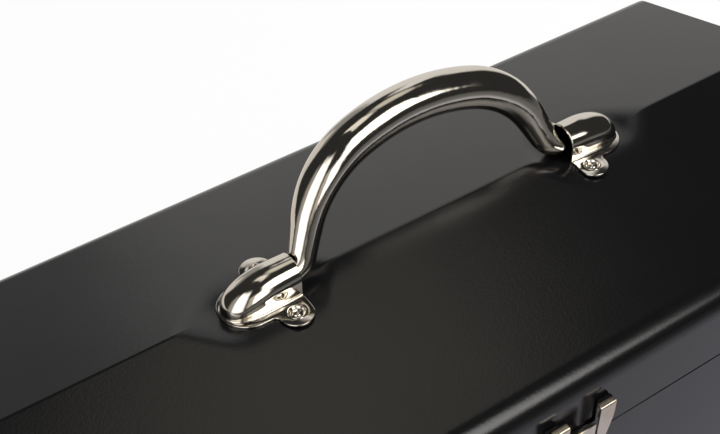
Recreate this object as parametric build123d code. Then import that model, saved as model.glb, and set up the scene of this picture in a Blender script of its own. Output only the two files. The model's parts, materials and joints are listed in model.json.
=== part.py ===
from build123d import *
import os
from math import radians, pi, sin, cos, tan, sqrt

# Steel carry box with a peaked lid, a folding grip handle, a draw latch and two
# cantilever trays that rise with the lid. Millimetres; X runs along the ridge,
# the latch side faces -Y, Z is up, and the origin is the middle of the underside.

# Box and lid
box_length = 508.0
box_depth = 228.0
body_height = 168.0
skirt_height = 46.0
roof_pitch = 12.6
eave_radius = 15.5
ridge_radius = 4.0
floor_radius = 8.0
sheet = 1.2
weld_fit = 0.1
end_recess = 1.5
end_flange = 12.0

# Rim lip that the closed lid drops over
rim_sheet = 1.0
rim_step = 0.6
rim_below = 12.0
rim_rise = 6.0
rim_back_gap = 14.0
rim_step_under = 2.0
rim_step_height = 1.0
rim_lid_room = 3.0
rim_body_room = 1.0

# Flats pressed into the ridge under the handle brackets
pad_inner_x = 65.0
pad_outer_x = 142.5
pad_drop = 4.0
pad_inner_ramp = 13.0
pad_outer_ramp = 18.5

# Handle: an arched tube whose narrowed ends turn out into the brackets
handle_lean = 20.0
grip_height = 57.0
grip_arc_radius = 116.0
grip_arc_turn = 18.0
corner_arc_radius = 56.0
leg_slope = 65.7
heel_radius = 9.0
tip_radius = 6.0
tip_reach = 16.0
tip_lift = 0.4
grip_wall = 1.4
grip_across = 21.2
grip_deep = 22.0
across_taper = 0.4
deep_taper = 0.3
grip_stations = 24

# Handle brackets
bracket_mouth_x = 83.0
bracket_nose_x = 124.0
bracket_sheet = 1.2
hood_half_width = 9.6
hood_height = 18.2
hood_margin = 1.6
hood_crown_x = 95.0
hood_bluntness = 3.5
hood_nose_turn = 80.0
hood_stations = 8
bracket_half_width = 14.8
ear_x = 93.0
ear_y = 17.6
ear_radius = 8.8
ear_mouth_set = 2.0
neck_radius = 3.0
rivet_shank_radius = 2.6
rivet_bore_radius = 1.5
rivet_head_radius = 4.4
rivet_head_height = 1.3
rivet_clinch_drop = 2.0
rivet_flare_depth = 1.0
rivet_flare = 0.9

# Piano hinge along the back
hinge_length = 480.0
hinge_sheet = 0.9
hinge_leaf_width = 19.0
knuckle_radius = 2.5
knuckle_pitch = 60.0
knuckle_gap = 0.4
hinge_pin_radius = 1.2
pin_clearance = 0.05
hinge_stand_off = 0.1
knuckle_relief = 0.7

# Draw latch
latch_sheet = 1.2
latch_pivot_up = -12.0
latch_pivot_out = 6.0
claw_pivot_drop = 12.0
claw_pivot_in = 1.0
latch_pin_radius = 1.5
latch_slack = 8.0
claw_ratio = 1.15
claw_inner_x = 9.8
claw_outer_x = 21.6
claw_leg_x = 15.0
claw_top = 27.5
claw_foot = 3.0
claw_foot_corner = 2.0
claw_leg_drop = 1.0
claw_hip_in = 1.5
claw_hip_up = 3.0
claw_side_up = 13.0
eye_radius = 2.9
eye_foot = 2.0
eye_top = 22.0
claw_stand_off = 2.9
claw_hook_gap = 0.4
catch_engage = 2.2
catch_half_width = 21.0
catch_notch_half = 10.5
catch_notch_up = 12.0
catch_lift = 2.0
bridge_half_width = 7.5
bridge_height = 7.0
bridge_top = 19.0
bridge_foot = 5.0
lever_half_width = 8.9
lever_length = 40.0
lever_top = 1.4
lever_stand_off = 3.3
lever_corner = 1.2
thumb_bend_up = 9.0
thumb_kick = 3.5
cheek_margin = 0.3
cheek_claw_margin = 0.6
cheek_top_gap = 0.2
cheek_foot = 22.0
base_half_width = 23.0
base_length = 46.0
base_top_gap = 5.0
ear_gap = 0.25
latch_rivet_x = 17.5
latch_rivet_inset = 6.0
catch_rivet_up = 13.0
latch_rivet_radius = 1.6
latch_head_radius = 3.2
latch_head_height = 0.9
latch_pin_head = 0.4
pin_head_lip = 0.9
bend_share = 0.9
base_corner = 4.0
base_ear_margin = 0.4
base_ear_foot = 7.0
base_ear_top = 2.5

# Trays
tray_sheet = 1.0
tray_depth = 100.0
tray_height = 38.0
tray_front_gap = 7.0
tray_top_gap = 8.0
tray_gap = 3.0
tray_corner = 5.0
tray_play = 0.3
hem_height = 6.0
divider_height = 30.0
divider_foot = 8.0
divider_fit = 0.6
divider_corner = 6.0
upper_divider_shares = (0.25, 0.5, 0.75)
lower_divider_shares = (0.34, 0.67)

# Cantilever arms, measured in the plane of the box's ends
arm_sheet = 1.6
arm_width = 12.0
upper_arm_length = 90.0
lower_arm_length = 48.0
arm_rest_lean = 85.0
tray_pin_front = 21.0
tray_pin_spread = 50.0
tray_pin_low = 8.0
crank_length = 35.0
crank_lean = 70.0
link_width = 10.0
gusset_share = 0.62
arm_pin_radius = 2.5
arm_shoulder_radius = 4.2
arm_head_radius = 4.2
arm_head_height = 0.8
outer_head_radius = 5.5
outer_head_height = 1.4
side_clearance = 0.2
open_clearance = 0.15
rim_clearance = 0.5

# Overshoot of cutting shapes past the surface they cut
cut_over = 1.0
drill_reach = 20.0

half_length = box_length / 2
half_depth = box_depth / 2
ridge_z = body_height + skirt_height + half_depth * tan(radians(roof_pitch))
pad_z = ridge_z - pad_drop
end_face = half_length - end_recess
inner_end = end_face - sheet
front_inner = -half_depth + sheet
handle_axis_z = pad_z + tip_radius + tip_lift
hinge_y = half_depth + knuckle_radius + hinge_stand_off
hinge_z = body_height

# Sideways layers between a box end and the trays, each from its outer face inwards
rim_layer = rim_step + rim_sheet
upper_head_at = rim_layer + rim_clearance
upper_arm_at = upper_head_at + arm_head_height + side_clearance
upper_arm_in = upper_arm_at + arm_sheet
link_at = upper_arm_in + side_clearance
lower_head_at = link_at + side_clearance
lower_arm_at = lower_head_at + arm_head_height + side_clearance
lower_arm_in = lower_arm_at + arm_sheet
tray_end_at = lower_arm_in + arm_head_height + 2 * side_clearance + tray_play
tray_half_length = inner_end - tray_end_at

# Tray places and the arm pivots that carry them
tray_pin_high = tray_height - hem_height - arm_head_radius - side_clearance
tray_front = -half_depth + sheet + tray_front_gap
upper_tray_z = body_height - tray_top_gap - tray_height
lower_tray_z = upper_tray_z - tray_gap - tray_height
arm_rest = (-sin(radians(arm_rest_lean)), cos(radians(arm_rest_lean)))


def tray_pins(tray_z):
    """Front and rear pin places (y, z) on a tray's end."""
    front = (tray_front + tray_pin_front, tray_z + tray_pin_low)
    rear = (tray_front + tray_pin_front + tray_pin_spread, tray_z + tray_pin_high)
    return front, rear


def arm_base(pin, length):
    """Body pivot of an arm whose far end holds the given tray pin."""
    return (pin[0] - length * arm_rest[0], pin[1] - length * arm_rest[1])


upper_front_pin, upper_rear_pin = tray_pins(upper_tray_z)
lower_front_pin, lower_rear_pin = tray_pins(lower_tray_z)
upper_front_base = arm_base(upper_front_pin, upper_arm_length)
upper_rear_base = arm_base(upper_rear_pin, upper_arm_length)
lower_front_base = arm_base(lower_front_pin, lower_arm_length)
lower_rear_base = arm_base(lower_rear_pin, lower_arm_length)
crank = (-crank_length * sin(radians(crank_lean)), crank_length * cos(radians(crank_lean)))
crank_pin = (upper_rear_base[0] + crank[0], upper_rear_base[1] + crank[1])
lid_pin = (hinge_y + crank[0], hinge_z + crank[1])


def block(x0, x1, y0, y1, z0, z1):
    """Box between two corners."""
    centre = ((x0 + x1) / 2, (y0 + y1) / 2, (z0 + z1) / 2)
    return Pos(*centre) * Box(x1 - x0, y1 - y0, z1 - z0)


def along_x(face, x0, x1):
    """Face drawn as (y, z), pulled from x0 to x1."""
    return extrude(Plane.YZ.offset(x0) * face, x1 - x0)


def rod(y, z, radius, x0, x1):
    """Round bar along X."""
    return along_x(Pos(y, z) * Circle(radius), min(x0, x1), max(x0, x1))


def both_ends(shapes):
    """The same pieces at the right and left ends of the box."""
    right = [piece for shape in shapes for piece in shape.solids()]
    return right + [mirror(piece, Plane.YZ) for piece in right]


def corner_fillet(face, y, z, radius):
    """Round the vertex of a face that lies nearest to (y, z)."""
    nearest = min(face.vertices(), key=lambda v: (v.X - y) ** 2 + (v.Y - z) ** 2)
    return fillet(nearest, radius)


# ---------------------------------------------------------------- lid shell


def roof_face(inset, bottom):
    """Lid section inside its skin by inset, closed along a line at bottom."""
    side = half_depth - inset
    top = ridge_z - inset / cos(radians(roof_pitch))
    eave = top - side * tan(radians(roof_pitch))
    points = [(-side, bottom), (-side, eave), (0, top), (side, eave), (side, bottom)]
    face = make_face(Polyline(*points, close=True))
    face = corner_fillet(face, -side, eave, eave_radius - inset)
    face = corner_fillet(face, side, eave, eave_radius - inset)
    return corner_fillet(face, 0, top, ridge_radius - inset)


def pad_cutter(side, depth):
    """What a pressed flat takes off the ridge, sunk further by depth."""
    top = ridge_z + drill_reach
    outline = Polyline(
        (side * pad_inner_x, ridge_z - depth),
        (side * (pad_inner_x + pad_inner_ramp), pad_z - depth),
        (side * (pad_outer_x - pad_outer_ramp), pad_z - depth),
        (side * pad_outer_x, ridge_z - depth),
        (side * pad_outer_x, top),
        (side * pad_inner_x, top),
        close=True,
    )
    return extrude(Plane.XZ * make_face(outline), half_depth / 2, both=True)


def lid_wrap():
    """Front skirt, both roof slopes and back skirt, bent from one sheet."""
    outer = along_x(roof_face(0, body_height), -half_length, half_length)
    inner = along_x(roof_face(sheet, body_height - cut_over), -half_length, half_length)
    for side in (-1, 1):
        outer -= pad_cutter(side, 0)
        inner -= pad_cutter(side, sheet)
    shell = outer - inner
    for x in (-ear_x, ear_x):
        for y in (-ear_y, ear_y):
            drill = Cylinder(rivet_shank_radius + weld_fit, 4 * pad_drop)
            shell -= Pos(x, y, pad_z) * drill
    for x, z in catch_rivets:
        shell -= front_bore(x, z, latch_rivet_radius + weld_fit)
    return shell


def lid_end():
    """Right end of the lid: a panel with a flange that is welded into the wrap."""
    skin = sheet + weld_fit
    pan = along_x(roof_face(skin, body_height), end_face - end_flange, end_face)
    pan -= along_x(roof_face(skin + sheet, body_height - cut_over), end_face - end_flange, inner_end)
    relief = body_height + rim_rise + rim_lid_room
    pan -= block(0, inner_end, -half_depth, half_depth, body_height - cut_over, relief)
    return pan - rod(*lid_pin, arm_shoulder_radius + weld_fit, half_length, inner_end - cut_over)


# --------------------------------------------------------------- body shell


def body_face(inset, top):
    """Body section inside its skin by inset, open or closed at top."""
    side = half_depth - inset
    points = [(-side, top), (-side, inset), (side, inset), (side, top)]
    face = make_face(Polyline(*points, close=True))
    face = corner_fillet(face, -side, inset, floor_radius - inset)
    return corner_fillet(face, side, inset, floor_radius - inset)


def body_wrap():
    """Front, floor and back, bent from one sheet."""
    outer = along_x(body_face(0, body_height), -half_length, half_length)
    shell = outer - along_x(body_face(sheet, body_height + cut_over), -half_length, half_length)
    for x, z in base_rivets:
        shell -= front_bore(x, z, latch_rivet_radius + weld_fit)
    return shell


def body_end():
    """Right end of the body: a flanged panel with the arm pivots' holes."""
    skin = sheet + weld_fit
    pan = along_x(body_face(skin, body_height), end_face - end_flange, end_face)
    pan -= along_x(body_face(skin + sheet, body_height + cut_over), end_face - end_flange, inner_end)
    relief = body_height - rim_below - rim_body_room
    pan -= block(0, inner_end, -half_depth, half_depth, relief, body_height + cut_over)
    for pivot in (upper_front_base, upper_rear_base, lower_front_base, lower_rear_base):
        pan -= rod(*pivot, arm_shoulder_radius + weld_fit, half_length, inner_end - cut_over)
    return pan


def rim_band(inset, bottom, top):
    """One height of the rim: a strip along the front and both ends."""
    back = half_depth - rim_back_gap
    outer = block(
        -inner_end + inset, inner_end - inset, front_inner + inset, back, bottom, top
    )
    hollow = inset + rim_sheet
    return outer - block(
        -inner_end + hollow, inner_end - hollow, front_inner + hollow, back + cut_over, bottom, top
    )


def body_rim():
    """Joggled lip: welded inside the body, then stepped in clear of the lid."""
    step_top = body_height - rim_step_under
    step_foot = step_top - rim_step_height
    lower = rim_band(0, body_height - rim_below, step_top)
    joggle = rim_band(0, step_foot, step_top) + rim_band(rim_step, step_foot, step_top)
    upper = rim_band(rim_step, step_foot, body_height + rim_rise)
    return lower + joggle + upper


# -------------------------------------------------------------- piano hinge


def knuckle_spans():
    """Ends of each knuckle along the hinge, left to right."""
    count = round(hinge_length / knuckle_pitch)
    pitch = hinge_length / count
    start = -hinge_length / 2
    return [
        (start + i * pitch + knuckle_gap / 2, start + (i + 1) * pitch - knuckle_gap / 2)
        for i in range(count)
    ]


def hinge_leaf(first, side):
    """Leaf with every second knuckle; side is -1 below the pin and 1 above it."""
    spans = knuckle_spans()
    mine = spans[first::2]
    relief = knuckle_radius + knuckle_relief
    near, far = side * relief, side * (relief + hinge_leaf_width)
    z0, z1 = sorted((hinge_z + near, hinge_z + far))
    leaf = block(-hinge_length / 2, hinge_length / 2, half_depth, half_depth + hinge_sheet, z0, z1)
    for x0, x1 in mine:
        tab0, tab1 = sorted((hinge_z, hinge_z + near))
        leaf += block(x0, x1, half_depth, half_depth + hinge_sheet, tab0, tab1)
        leaf += rod(hinge_y, hinge_z, knuckle_radius, x0, x1)
    bore = hinge_pin_radius + pin_clearance
    return leaf - rod(hinge_y, hinge_z, bore, -hinge_length, hinge_length)


def hinge_pin():
    return rod(hinge_y, hinge_z, hinge_pin_radius, -hinge_length / 2, hinge_length / 2)


# ------------------------------------------------------------------- handle


def grip_line():
    """Centre line of the right half, from the top of the arch down to the heel."""
    crown = ThreePointArc(*arc_points((0, grip_height), grip_arc_radius, 0, grip_arc_turn))
    corner = ThreePointArc(
        *arc_points(crown @ 1, corner_arc_radius, grip_arc_turn, leg_slope)
    )
    steep = Vector(cos(radians(leg_slope)), -sin(radians(leg_slope)))
    heel_drop = heel_radius * (1 - cos(radians(leg_slope)))
    knee = (corner @ 1) + steep * (((corner @ 1).Y - heel_drop) / sin(radians(leg_slope)))
    half_turn = radians(leg_slope / 2)
    heel_mid = knee + Vector(
        heel_radius * (sin(radians(leg_slope)) - sin(half_turn)),
        -heel_radius * (cos(half_turn) - cos(radians(leg_slope))),
    )
    heel_end = knee + Vector(heel_radius * sin(radians(leg_slope)), -heel_drop)
    heel = ThreePointArc(knee, heel_mid, heel_end)
    return Wire([crown, corner, Line(corner @ 1, knee), heel])


def arc_points(start, radius, turn0, turn1):
    """Start, middle and end of an arc that falls away to the right."""
    start = Vector(start)
    centre = start - Vector(sin(radians(turn0)), cos(radians(turn0))) * radius
    ends = [
        centre + Vector(sin(radians(turn)), cos(radians(turn))) * radius
        for turn in ((turn0 + turn1) / 2, turn1)
    ]
    return start, ends[0], ends[1]


def narrowed(full, share, start):
    """Width of the tube at a share of its half length, eased down to the tip."""
    if share <= start:
        return full
    ease = (1 + cos(pi * (share - start) / (1 - start))) / 2
    return 2 * tip_radius + (full - 2 * tip_radius) * ease


def grip_sections():
    """Oval sections, evenly spaced down the right half."""
    line = grip_line()
    sections = []
    for i in range(grip_stations + 1):
        share = i / grip_stations
        at = line @ share
        way = line % share
        plane = Plane(origin=(at.X, 0, at.Y), x_dir=(0, 1, 0), z_dir=(way.X, 0, way.Y))
        across = narrowed(grip_across, share, across_taper) / 2
        deep = narrowed(grip_deep, share, deep_taper) / 2
        sections.append(plane * Ellipse(across, deep))
    return sections


def grip_bore():
    """Hollow of the grip, along the crown where the tube has its full width."""
    centre = Axis((0, 0, grip_height - grip_arc_radius), (0, 1, 0))
    start = Plane.YZ * Pos(0, grip_height) * Circle(grip_across / 2 - grip_wall)
    bore = revolve(start, centre, revolution_arc=2 * grip_arc_turn)
    return bore.rotate(centre, -grip_arc_turn)


def grip_tube():
    """The whole arch, lofted from heel to heel, with a straight tip at each end."""
    right = grip_sections()
    left = [mirror(section, Plane.YZ) for section in reversed(right[1:])]
    tip = extrude(right[-1], tip_reach, dir=(1, 0, 0))
    return loft(left + right, ruled=True) + tip + mirror(tip, Plane.YZ)


def handle():
    upright = grip_tube() - grip_bore()
    lean = Rotation(-handle_lean, 0, 0)
    return Pos(0, 0, handle_axis_z) * lean * upright


# ---------------------------------------------------------- handle brackets


def hood_section(share, inset):
    """Arch across the hood; share runs from 0 at the crown to 1 at the nose."""
    nose = bracket_nose_x - hood_margin
    half = hood_half_width * sqrt(1 - share**hood_bluntness) - inset
    height = hood_height * sqrt(1 - share**2) - inset
    foot = -cut_over if inset else 0.0
    wall = height - half
    outline = [
        Line((-half, foot), (half, foot)),
        Line((half, foot), (half, wall)),
        ThreePointArc((half, wall), (0, height), (-half, wall)),
        Line((-half, wall), (-half, foot)),
    ]
    x = hood_crown_x + share * (nose - hood_crown_x)
    return Plane.YZ.offset(x) * make_face(outline)


def hood_solid(inset):
    """Bullet-nosed hood, standing on the pad at z = 0."""
    turns = [hood_nose_turn * i / hood_stations for i in range(hood_stations + 1)]
    if inset:
        turns = turns[:-1]
    nose = loft([hood_section(sin(radians(turn)), inset) for turn in turns], ruled=True)
    reach = hood_crown_x - bracket_mouth_x + inset
    return nose + extrude(hood_section(0.0, inset), reach, dir=(-1, 0, 0))


def bracket_outline():
    """Flange in plan: a round nose and an ear on each side of the mouth."""
    half = bracket_half_width
    nose_centre = bracket_nose_x - half
    strip = Polyline(
        (bracket_mouth_x, -half),
        (nose_centre, -half),
        (nose_centre, half),
        (bracket_mouth_x, half),
        close=True,
    )
    outline = make_face(strip) + Pos(nose_centre, 0) * Circle(half)
    neck_x = ear_x + sqrt(ear_radius**2 - (ear_y - half) ** 2)
    for side in (-1, 1):
        ear = Pos(ear_x, side * ear_y) * Rotation(0, 0, 180) * Circle(ear_radius)
        mouth = Line((bracket_mouth_x, 0), (bracket_mouth_x, side * (ear_y - ear_mouth_set)))
        outline += make_hull([*ear.edges(), mouth])
        outline = corner_fillet(outline, neck_x, side * half, neck_radius)
    return outline


def handle_bracket():
    """Right bracket: hood, flange and ears pressed from one piece of sheet."""
    flange = extrude(bracket_outline(), bracket_sheet)
    piece = flange + hood_solid(0) - hood_solid(bracket_sheet)
    for y in (-ear_y, ear_y):
        piece -= Pos(ear_x, y, 0) * Cylinder(rivet_shank_radius + weld_fit, 4 * bracket_sheet)
    return Pos(0, 0, pad_z) * piece


def bracket_rivet():
    """Hollow rivet: rolled head above the ear and a flared end under the lid."""
    top = bracket_sheet
    under = -rivet_clinch_drop
    half = (rivet_head_radius + rivet_bore_radius) / 2
    ring = Polyline(
        (rivet_bore_radius, under - rivet_flare_depth),
        (rivet_shank_radius + rivet_flare, under - rivet_flare_depth),
        (rivet_shank_radius, under),
        (rivet_shank_radius, top),
        (rivet_head_radius, top),
        (half, top + rivet_head_height),
        (rivet_bore_radius, top + rivet_head_height / 2),
        close=True,
    )
    return revolve(Plane.XZ * make_face(ring), Axis.Z)


def bracket_rivets():
    one = bracket_rivet()
    return [
        Pos(x, y, pad_z) * one for x in (-ear_x, ear_x) for y in (-ear_y, ear_y)
    ]


# --------------------------------------------------------------- draw latch

latch_face = -half_depth
latch_pivot = (latch_face - latch_pivot_out, body_height + latch_pivot_up)
claw_pivot = (latch_pivot[0] + claw_pivot_in, latch_pivot[1] - claw_pivot_drop)
base_top = body_height - base_top_gap
base_bottom = base_top - base_length
catch_top = body_height + claw_top - latch_sheet - claw_hook_gap
catch_rivets = [(x, body_height + catch_rivet_up) for x in (-latch_rivet_x, latch_rivet_x)]
upper_rivet_z = body_height - rim_below - latch_head_radius - side_clearance
base_rivets = [
    (x, z)
    for x in (-latch_rivet_x, latch_rivet_x)
    for z in (base_bottom + latch_rivet_inset, upper_rivet_z)
]


def front_bore(x, z, radius):
    """Drill through the front sheet and whatever is riveted to it."""
    return Pos(x, latch_face, z) * Rotation(90, 0, 0) * Cylinder(radius, drill_reach)


def front_plate(outline, y0, y1):
    """Outline drawn as (x, z), given thickness from y0 to y1."""
    return extrude(Plane.XZ.offset(-max(y0, y1)) * outline, abs(y1 - y0))


def latch_lever_home():
    """Channel-shaped lever as it lies when pressed home."""
    y, z = latch_pivot
    face = y - lever_stand_off
    top, bottom = z + lever_top, z - lever_length
    profile = [
        (face, top),
        (face, bottom + thumb_bend_up),
        (face - thumb_kick, bottom),
        (face - thumb_kick - latch_sheet, bottom),
        (face - latch_sheet, bottom + thumb_bend_up),
        (face - latch_sheet, top),
    ]
    plate = along_x(make_face(Polyline(*profile, close=True)), -lever_half_width, lever_half_width)
    outline = Pos(0, z - (lever_length - lever_top) / 2) * RectangleRounded(
        2 * lever_half_width, lever_length + lever_top, lever_corner
    )
    thumb = Pos(0, bottom + lever_half_width) * Circle(lever_half_width)
    shank = Rectangle(4 * lever_half_width, 2 * (lever_length - lever_half_width))
    keep = outline & (thumb + Pos(0, z) * shank)
    lever = plate & front_plate(keep, face - drill_reach, face + cut_over)
    cheek = make_hull([
        *(Pos(y, z) * Circle(lever_stand_off - cheek_margin)).edges(),
        *(Pos(*claw_pivot) * Circle(lever_stand_off - cheek_claw_margin)).edges(),
        Line((face - latch_sheet / 2, top - cheek_top_gap), (face - latch_sheet / 2, z - cheek_foot)),
    ])
    for side in (-1, 1):
        inner = side * (lever_half_width - latch_sheet)
        x0, x1 = sorted((inner, side * lever_half_width))
        lever += along_x(cheek, x0, x1)
    return lever


def latch_lever():
    lever = latch_lever_home()
    for pivot in (latch_pivot, claw_pivot):
        lever -= rod(*pivot, latch_pin_radius + pin_clearance, -drill_reach, drill_reach)
    return ajar(lever)


def ajar(shape):
    """Turn a piece of the lever from home to its slack place."""
    pivot = Axis((0, *latch_pivot), (-1, 0, 0))
    return shape.rotate(pivot, latch_slack)


def claw_slack(shape):
    """Carry a piece of the claw with the slack lever, leaning out a little."""
    carried = ajar(shape)
    pin = ajar(Pos(0, *claw_pivot) * Sphere(0.1)).center()
    return carried.rotate(Axis(pin, (-1, 0, 0)), -claw_ratio * latch_slack)


def claw_arm():
    """Right arm of the claw: hooked prong above, eye flange at the pivot below."""
    back = latch_face - claw_stand_off
    front = back - latch_sheet
    y, z = claw_pivot
    top = body_height + claw_top
    points = [
        (claw_inner_x, top),
        (claw_inner_x, z - claw_foot),
        (claw_leg_x, z - claw_foot),
        (claw_leg_x, body_height - claw_leg_drop),
        (claw_outer_x - claw_hip_in, body_height + claw_hip_up),
        (claw_outer_x, body_height + claw_side_up),
        (claw_outer_x, top),
    ]
    face = make_face(Polyline(*points, close=True))
    face = corner_fillet(face, claw_leg_x, z - claw_foot, claw_foot_corner)
    face = corner_fillet(face, claw_outer_x - claw_hip_in, body_height + claw_hip_up, claw_hip_up)
    arm = front_plate(face, front, back)
    hook_end = latch_face - claw_hook_gap
    arm += block(claw_inner_x, claw_outer_x, front, hook_end, top - latch_sheet, top)
    eye = make_hull([
        *(Pos(y, z) * Circle(eye_radius)).edges(),
        Line((back - latch_sheet / 2, z - eye_foot), (back - latch_sheet / 2, z + eye_top)),
    ])
    arm += along_x(eye, claw_inner_x, claw_inner_x + latch_sheet)
    crease = [
        edge
        for edge in arm.edges().filter_by(Axis.X)
        if abs(edge.center().Z - top) < 0.01 and abs(edge.center().Y - front) < 0.01
    ]
    arm = fillet(crease, bend_share * latch_sheet)
    return arm - rod(y, z, latch_pin_radius + weld_fit / 2, 0, drill_reach)


def latch_claw():
    """Both arms of the claw in their slack place."""
    right = claw_slack(claw_arm())
    return [right, mirror(right, Plane.YZ)]


def riveted_pin(pivot, half_span, head):
    """Pin along X with a flat head at each end."""
    reach = half_span + side_clearance
    pin = rod(*pivot, latch_pin_radius, -reach - head, reach + head)
    for side in (-1, 1):
        pin += rod(*pivot, latch_pin_radius + pin_head_lip, side * reach, side * (reach + head))
    return pin


def latch_claw_pin():
    """Plain pin, peened flush in the claw's two eyes."""
    span = claw_inner_x + latch_sheet
    return claw_slack(rod(*claw_pivot, latch_pin_radius, -span, span))


def latch_base():
    """Plate riveted to the body front, with two ears for the lever's pin."""
    y, z = latch_pivot
    mid = (base_top + base_bottom) / 2
    outline = Pos(0, mid) * RectangleRounded(2 * base_half_width, base_length, base_corner)
    base = front_plate(outline, latch_face - latch_sheet, latch_face)
    root = latch_face - latch_sheet / 2
    ear = make_hull([
        *(Pos(y, z) * Circle(lever_stand_off - base_ear_margin)).edges(),
        Line((root, z - base_ear_foot), (root, z + base_ear_top)),
    ])
    outer = lever_half_width - latch_sheet - ear_gap
    for side in (-1, 1):
        x0, x1 = sorted((side * outer, side * (outer - latch_sheet)))
        base += along_x(ear, x0, x1)
    base -= rod(y, z, latch_pin_radius + weld_fit / 2, -drill_reach, drill_reach)
    for x, rivet_z in base_rivets:
        base -= front_bore(x, rivet_z, latch_rivet_radius + weld_fit)
    return base


def latch_pin():
    return riveted_pin(latch_pivot, lever_half_width, latch_pin_head)


def lid_catch():
    """Catch plate on the lid: a ledge for the hooks and a raised centre bridge."""
    face = latch_face - latch_sheet
    bottom = body_height + catch_lift
    middle = (catch_top + bottom) / 2
    outline = Pos(0, middle) * Rectangle(2 * catch_half_width, catch_top - bottom)
    top, foot = body_height + bridge_top, body_height + bridge_foot
    low, high = body_height + catch_notch_up, catch_top + cut_over
    outline -= Pos(0, (low + high) / 2) * Rectangle(2 * catch_notch_half, high - low)
    outline += Pos(0, (low + top) / 2) * Rectangle(2 * bridge_half_width, top - low)
    plate = front_plate(outline, face, latch_face)
    ledge = latch_face - claw_hook_gap - catch_engage
    for side in (-1, 1):
        x0, x1 = sorted((side * catch_notch_half, side * catch_half_width))
        plate += block(x0, x1, ledge, latch_face, catch_top - latch_sheet, catch_top)
    front = latch_face - bridge_height
    bridge = block(-bridge_half_width, bridge_half_width, front, face, foot, top)
    bridge -= block(
        -bridge_half_width - cut_over,
        bridge_half_width + cut_over,
        front + latch_sheet,
        face,
        foot + latch_sheet,
        top - latch_sheet,
    )
    brow = [
        edge
        for edge in bridge.edges().filter_by(Axis.X)
        if abs(edge.center().Y - front) < 0.01
    ]
    plate += fillet(brow, bend_share * latch_sheet)
    for x, z in catch_rivets:
        plate -= front_bore(x, z, latch_rivet_radius + weld_fit)
    return plate


def front_rivet(x, z):
    """Low-headed rivet through a latch plate and the front sheet."""
    face = latch_face - latch_sheet
    inside = latch_face + sheet + latch_head_height
    shank = front_plate(Pos(x, z) * Circle(latch_rivet_radius), face, inside)
    top_radius = latch_head_radius - latch_head_height
    head = Cone(latch_head_radius, top_radius, latch_head_height)
    return shank + Pos(x, face - latch_head_height / 2, z) * Rotation(90, 0, 0) * head


# -------------------------------------------------------------------- trays


def tray_shell(tray_z, pins):
    """Open pan with rounded corners and a hemmed top edge."""
    length = 2 * tray_half_length
    centre = Pos(0, tray_front + tray_depth / 2, tray_z)
    outer = extrude(RectangleRounded(length, tray_depth, tray_corner), tray_height)
    base = outer.faces().sort_by(Axis.Z)[0]
    outer = chamfer(base.edges(), tray_sheet)
    inner = extrude(
        RectangleRounded(
            length - 2 * tray_sheet, tray_depth - 2 * tray_sheet, tray_corner - tray_sheet
        ),
        tray_height,
    )
    pan = outer - Pos(0, 0, tray_sheet) * inner
    hem = RectangleRounded(
        length - tray_sheet, tray_depth - tray_sheet, tray_corner - tray_sheet / 2
    ) - RectangleRounded(
        length - 4 * tray_sheet, tray_depth - 4 * tray_sheet, tray_corner - 2 * tray_sheet
    )
    pan += Pos(0, 0, tray_height - hem_height) * extrude(hem, hem_height)
    pan = centre * pan
    for y, z in pins:
        pan -= rod(y, z, arm_shoulder_radius + weld_fit, -box_length, box_length)
    return pan


def tray_dividers(tray_z, shares):
    """Cross walls, each with a foot welded to the tray floor."""
    front = tray_front + 2 * tray_sheet + divider_fit
    back = tray_front + tray_depth - 2 * tray_sheet - divider_fit
    floor = tray_z + tray_sheet
    walls = []
    for share in shares:
        x = (2 * share - 1) * (tray_half_length - tray_sheet)
        profile = Polyline(
            (x, floor),
            (x + divider_foot, floor),
            (x + divider_foot, floor + tray_sheet),
            (x + tray_sheet, floor + tray_sheet),
            (x + tray_sheet, floor + divider_height),
            (x, floor + divider_height),
            close=True,
        )
        wall = extrude(Plane.XZ.offset(-back) * make_face(profile), back - front)
        corners = wall.edges().filter_by(Axis.X).group_by(Axis.Z)[-1]
        walls.append(fillet(corners, divider_corner))
    return walls


# ------------------------------------------------------------- tray linkage


def end_x(inset):
    """X of a layer, counted inwards from the right end panel's inner face."""
    return inner_end - inset


def arm_plate(outline, holes, inset):
    """Right-hand arm or link cut from strip, at its layer."""
    plate = along_x(outline, end_x(inset + arm_sheet), end_x(inset))
    for (y, z), radius in holes:
        plate -= rod(y, z, radius, 0, half_length)
    return plate


def bar_outline(start, end, width):
    """Strip with a round end about each pivot."""
    circles = [Pos(*at) * Circle(width / 2) for at in (start, end)]
    return make_hull([edge for circle in circles for edge in circle.edges()])


running_hole = arm_pin_radius + pin_clearance
open_hole = arm_pin_radius + open_clearance


def front_arms(base, pin, inset):
    """Front arms; the hole at the tray is the open one."""
    outline = bar_outline(base, pin, arm_width)
    holes = [(base, running_hole), (pin, open_hole)]
    return both_ends([arm_plate(outline, holes, inset)])


def lower_rear_arms():
    outline = bar_outline(lower_rear_base, lower_rear_pin, arm_width)
    holes = [(lower_rear_base, running_hole), (lower_rear_pin, running_hole)]
    return both_ends([arm_plate(outline, holes, lower_arm_at)])


def upper_rear_arms():
    """Rear arms with the crank ear that the drive links push."""
    part_way = (
        upper_rear_base[0] + gusset_share * upper_arm_length * arm_rest[0],
        upper_rear_base[1] + gusset_share * upper_arm_length * arm_rest[1],
    )
    corners = [
        (upper_rear_base, arm_width / 2),
        (crank_pin, arm_width / 2),
        (part_way, arm_width / 2),
    ]
    circles = [Pos(*at) * Circle(radius) for at, radius in corners]
    gusset = make_hull([edge for circle in circles for edge in circle.edges()])
    outline = bar_outline(upper_rear_base, upper_rear_pin, arm_width) + gusset
    holes = [
        (upper_rear_base, running_hole),
        (upper_rear_pin, running_hole),
        (crank_pin, arm_pin_radius + weld_fit),
    ]
    return both_ends([arm_plate(outline, holes, upper_arm_at)])


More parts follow.
